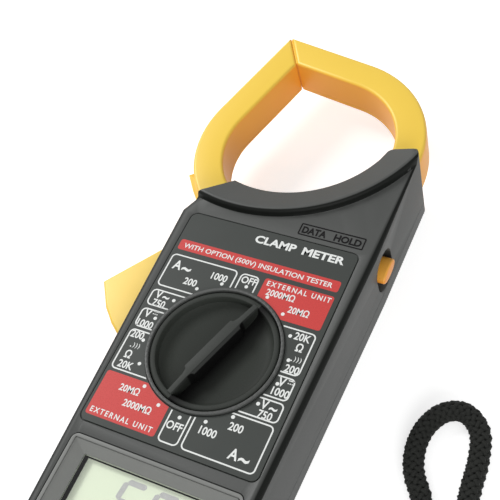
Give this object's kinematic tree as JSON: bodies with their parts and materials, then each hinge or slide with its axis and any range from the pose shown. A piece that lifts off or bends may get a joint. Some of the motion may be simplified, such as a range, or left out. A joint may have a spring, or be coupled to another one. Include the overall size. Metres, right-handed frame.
{
  "type": "clamp meter",
  "caption": "Hand-held clamp meter with a trigger-opened hinged jaw, rotary range dial, display window, hold button, input sockets and a braided wrist strap.",
  "frame": {"origin": "on the plane that the back rests on, straight below the axis of the rotary dial", "axes": "+X across the case towards the hold button, +Y towards the jaws, +Z out of the front face"},
  "size_m": [0.1452, 0.2582, 0.0328],
  "materials": {
    "case_plastic": "fine spark-eroded texture",
    "jaw_plastic": "satin",
    "label_film": "printed film",
    "black_plastic": "satin",
    "red_plastic": "gloss",
    "white_plastic": "satin",
    "clear_window": "clear",
    "display": "gloss",
    "steel": "brushed",
    "core_steel": "laminated",
    "brass": "plated",
    "copper_wire": "enamelled",
    "board": "solder mask",
    "rubber_strip": "matt",
    "component": "gloss",
    "battery_skin": "lacquered",
    "wire_skin": "gloss",
    "braid": "braided"
  },
  "bodies": {
    "meter": {"front_case": "case_plastic", "rear_case": "case_plastic", "label_plate": "label_film", "display_bezel": "case_plastic", "display_lens": "clear_window", "display_glass": "display", "display_frame": "white_plastic", "contact_strips": "rubber_strip", "fixed_jaw_front": "jaw_plastic", "fixed_jaw_back": "jaw_plastic", "fixed_core": "core_steel", "coil_bobbin": "white_plastic", "coil_winding": "copper_wire", "jaw_pivot_pin": "steel", "jaw_spring": "steel", "jaw_screws": "steel", "main_board": "board", "switch_tracks": "brass", "meter_chip": "black_plastic", "resistors": "component", "capacitors": "component", "trimmer": "component", "buzzer": "black_plastic", "board_screws": "steel", "hold_switch": "black_plastic", "input_sockets": "brass", "socket_collars": "black_plastic", "socket_collar_red": "red_plastic", "battery": "battery_skin", "battery_terminals": "steel", "battery_snap": "black_plastic", "battery_leads": "wire_skin", "coil_leads": "wire_skin", "case_screws": "steel", "strap_anchor": "black_plastic", "wrist_strap": "braid"},
    "jaw_lever": {"jaw_lever_front": "jaw_plastic", "jaw_lever_back": "jaw_plastic", "moving_core": "core_steel", "lever_screws": "steel"},
    "dial": {"rotary_knob": "black_plastic", "switch_rotor": "white_plastic", "rotor_wipers": "brass", "detent_balls": "steel", "detent_springs": "steel", "rotor_screw": "steel"},
    "hold": {"hold_button": "jaw_plastic", "hold_plunger": "white_plastic"},
    "door": {"battery_door": "case_plastic", "door_screw": "steel"}
  },
  "joints": [
    {"name": "jaw_hinge", "type": "hinge", "parent": "meter", "child": "jaw_lever", "pos_m": [-0.023, 0.0465, 0.0175], "axis": [0, 0, 1], "range_deg": [0, 28], "stiffness_Nm_per_rad": 1.2, "springref_deg": -17.19, "deforming": ["jaw_spring"]},
    {"name": "dial_turn", "type": "hinge", "parent": "meter", "child": "dial", "pos_m": [0, 0, 0.03], "axis": [0, 0, 1], "continuous": true},
    {"name": "hold_press", "type": "slide", "parent": "meter", "child": "hold", "axis": [-1, 0, 0], "range_m": [0, 0.002], "stiffness_N_per_m": 900, "springref_m": -0.0006},
    {"name": "door_tilt", "type": "hinge", "parent": "meter", "child": "door", "pos_m": [0, -0.074, 0], "axis": [-1, 0, 0], "range_deg": [0, 60]}
  ]
}
